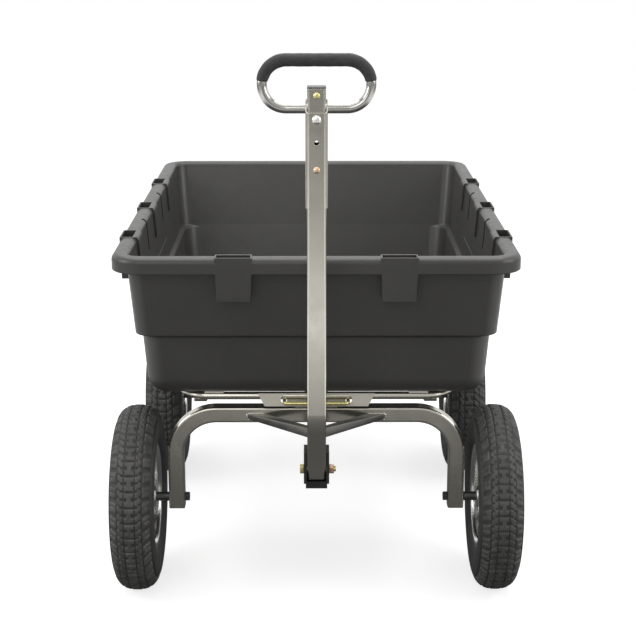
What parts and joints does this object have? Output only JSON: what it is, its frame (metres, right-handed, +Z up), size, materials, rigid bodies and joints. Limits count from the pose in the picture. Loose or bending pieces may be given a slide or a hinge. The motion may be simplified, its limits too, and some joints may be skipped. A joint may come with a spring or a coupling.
{
  "type": "tipping dump cart",
  "caption": "Garden dump cart: poly tub with stake pockets on a tipping steel bed frame, steered front axle, pneumatic wheels and a pull handle that becomes a hitch.",
  "frame": {"origin": "on the ground, in the middle of the cart's length and width", "axes": "+Z up, -Y towards the handle at the front, +X to the right in the picture"},
  "size_m": [0.8886, 1.4138, 1.1935],
  "materials": {
    "tub_poly": "satin moulded polyethylene",
    "steel_grey": "satin warm grey metallic coat",
    "steel_light": "lighter satin grey coat",
    "steel_black": "satin black coat",
    "zinc_yellow": "yellow zinc plate",
    "zinc_copper": "copper-coloured zinc plate",
    "zinc_bright": "bright zinc plate",
    "foam_grip": "matte foam rubber",
    "cap_plastic": "matte black plastic",
    "tyre_rubber": "dusty black rubber",
    "spring_steel": "bare spring steel"
  },
  "bodies": {
    "chassis": {"spine_beam": "steel_grey", "head_plate": "steel_grey", "kingpin": "steel_black", "kingpin_nut": "zinc_yellow", "rear_saddle": "steel_grey", "rear_axle_arch": "steel_grey", "rear_stub_axles": "steel_black", "rear_spacers": "steel_black", "rear_wheel_nuts": "zinc_bright", "hinge_brackets": "steel_grey", "hinge_bolts": "zinc_yellow", "latch_catch": "steel_black"},
    "front_axle": {"front_axle_arch": "steel_grey", "steering_plate": "steel_grey", "thrust_washer": "zinc_bright", "kingpin_bush": "zinc_bright", "tongue_braces": "steel_grey", "handle_clevis": "steel_black", "clevis_bolt": "zinc_yellow", "clevis_nut": "zinc_copper", "front_stub_axles": "steel_black", "front_spacers": "steel_black", "front_wheel_nuts": "zinc_bright"},
    "handle": {"handle_tube": "steel_grey", "handle_sleeve": "steel_grey", "hitch_head": "steel_grey", "hitch_head_cap": "cap_plastic", "hitch_pin": "zinc_yellow", "head_bolt": "zinc_bright", "sleeve_bolt": "zinc_copper"},
    "loop": {"loop_rail": "steel_light", "loop_grip": "foam_grip"},
    "bed": {"tub": "tub_poly", "bed_frame": "steel_grey", "rear_cross_bar": "steel_grey", "bed_tabs": "steel_light", "hinge_lugs": "steel_grey", "latch_plate": "steel_light", "tub_bolts": "zinc_bright", "release_spring": "spring_steel"},
    "release": {"release_loop": "zinc_yellow", "latch_tongue": "steel_black"},
    "front_left_wheel": {"front_left_tyre": "tyre_rubber", "front_left_rim": "steel_light", "front_left_bearings": "zinc_bright", "front_left_valve": "cap_plastic"},
    "front_right_wheel": {"front_right_tyre": "tyre_rubber", "front_right_rim": "steel_light", "front_right_bearings": "zinc_bright", "front_right_valve": "cap_plastic"},
    "rear_left_wheel": {"rear_left_tyre": "tyre_rubber", "rear_left_rim": "steel_light", "rear_left_bearings": "zinc_bright", "rear_left_valve": "cap_plastic"},
    "rear_right_wheel": {"rear_right_tyre": "tyre_rubber", "rear_right_rim": "steel_light", "rear_right_bearings": "zinc_bright", "rear_right_valve": "cap_plastic"}
  },
  "joints": [
    {"name": "steer", "type": "hinge", "parent": "chassis", "child": "front_axle", "pos_m": [0, -0.4331, 0.397], "axis": [0, 0, 1], "range_deg": [-40, 40]},
    {"name": "handle_swing", "type": "hinge", "parent": "front_axle", "child": "handle", "pos_m": [0, -0.5781, 0.322], "axis": [1, 0, 0], "range_deg": [0, 80]},
    {"name": "loop_fold", "type": "hinge", "parent": "handle", "child": "loop", "pos_m": [0, -0.6789, 1.08924], "axis": [-1, 0, 0], "range_deg": [0, 150]},
    {"name": "bed_tip", "type": "hinge", "parent": "chassis", "child": "bed", "pos_m": [0, 0.3959, 0.4138], "axis": [-1, 0, 0], "range_deg": [0, 65]},
    {"name": "release_pull", "type": "slide", "parent": "bed", "child": "release", "axis": [0, -1, 0], "range_m": [0, 0.012], "stiffness_N_per_m": 800, "springref_m": -0.01, "deforming": ["release_spring"]},
    {"name": "front_left_wheel_turn", "type": "hinge", "parent": "front_axle", "child": "front_left_wheel", "pos_m": [-0.391, -0.4331, 0.203], "axis": [1, 0, 0], "continuous": true},
    {"name": "front_right_wheel_turn", "type": "hinge", "parent": "front_axle", "child": "front_right_wheel", "pos_m": [0.391, -0.4331, 0.203], "axis": [1, 0, 0], "continuous": true},
    {"name": "rear_left_wheel_turn", "type": "hinge", "parent": "chassis", "child": "rear_left_wheel", "pos_m": [-0.391, 0.2959, 0.203], "axis": [1, 0, 0], "continuous": true},
    {"name": "rear_right_wheel_turn", "type": "hinge", "parent": "chassis", "child": "rear_right_wheel", "pos_m": [0.391, 0.2959, 0.203], "axis": [1, 0, 0], "continuous": true}
  ]
}
